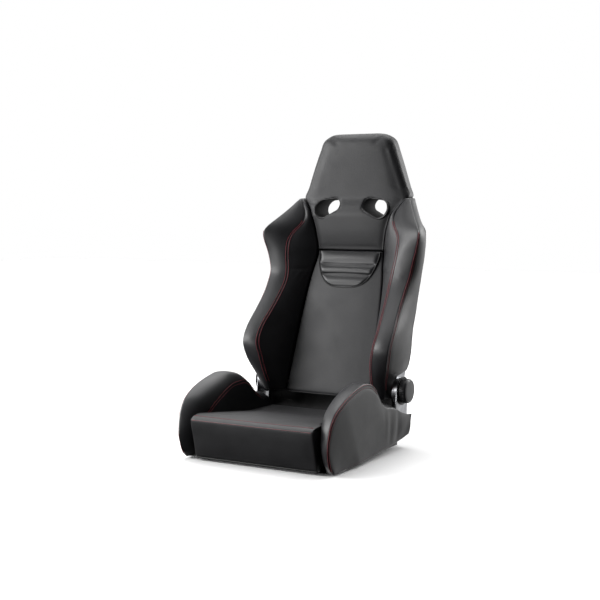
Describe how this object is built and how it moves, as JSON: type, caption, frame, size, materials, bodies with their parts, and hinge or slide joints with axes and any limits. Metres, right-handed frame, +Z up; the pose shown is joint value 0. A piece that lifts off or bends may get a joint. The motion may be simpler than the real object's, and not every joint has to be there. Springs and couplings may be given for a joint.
{
  "type": "reclining racing seat",
  "caption": "Reclining bucket seat with padded side bolsters, harness holes, a ribbed shoulder pad, a steel frame and a rotary recline dial.",
  "frame": {"origin": "centre of the floor bolt pattern, in the plane of the side rails' lower faces", "axes": "+X to the side with the recline dial, -Y towards the front of the seat, +Z up"},
  "size_m": [0.533, 0.7042, 0.937],
  "materials": {
    "steel_frame": "satin black paint",
    "zinc_plate": "zinc plated",
    "spring_wire": "oiled spring steel",
    "bolster_leather": "satin grained leatherette over foam",
    "panel_leather": "matte fine grained leatherette over foam",
    "gloss_leather": "smooth glossy leatherette over foam",
    "rear_cloth": "black cloth",
    "black_plastic": "grained black plastic"
  },
  "bodies": {
    "base": {"base_rail_l": "steel_frame", "base_rail_r": "steel_frame", "front_cross_tube": "steel_frame", "rear_cross_tube": "steel_frame", "front_pan": "steel_frame", "seat_springs": "spring_wire", "underside_cover": "rear_cloth", "seat_cushion": "panel_leather", "base_bolster_l": "bolster_leather", "base_bolster_r": "bolster_leather", "rear_trim_l": "black_plastic", "rear_trim_r": "black_plastic", "recliner_bracket_l": "zinc_plate", "recliner_bracket_r": "zinc_plate", "recliner_ring_l": "zinc_plate", "recliner_ring_r": "zinc_plate", "recliner_cover_l": "black_plastic", "recliner_cover_r": "black_plastic", "bracket_bolts": "zinc_plate", "mount_nuts": "zinc_plate"},
    "backrest": {"back_hoop": "steel_frame", "lumbar_cross_tube": "steel_frame", "shoulder_cross_tube": "steel_frame", "recliner_arm_l": "zinc_plate", "recliner_arm_r": "zinc_plate", "recliner_gear_l": "zinc_plate", "recliner_gear_r": "zinc_plate", "back_springs": "spring_wire", "back_wing_l": "bolster_leather", "back_wing_r": "bolster_leather", "back_pad": "panel_leather", "head_pad": "panel_leather", "ribbed_pad": "gloss_leather", "rear_panel": "rear_cloth", "harness_bezel_front_l": "black_plastic", "harness_bezel_front_r": "black_plastic", "harness_bezel_rear_l": "black_plastic", "harness_bezel_rear_r": "black_plastic"},
    "dial": {"dial_knob": "black_plastic", "drive_shaft": "zinc_plate", "recliner_cam_l": "zinc_plate", "recliner_cam_r": "zinc_plate"}
  },
  "joints": [
    {"name": "recline", "type": "hinge", "parent": "base", "child": "backrest", "pos_m": [0, 0.18, 0.171], "axis": [-1, 0, 0], "range_deg": [-12, 45]},
    {"name": "dial_turn", "type": "hinge", "parent": "base", "child": "dial", "pos_m": [0, 0.18, 0.171], "axis": [-1, 0, 0], "range_deg": [-408, 1530]}
  ],
  "couplings": [
    {"joint": "dial_turn", "follows": "recline", "ratio": 34}
  ]
}
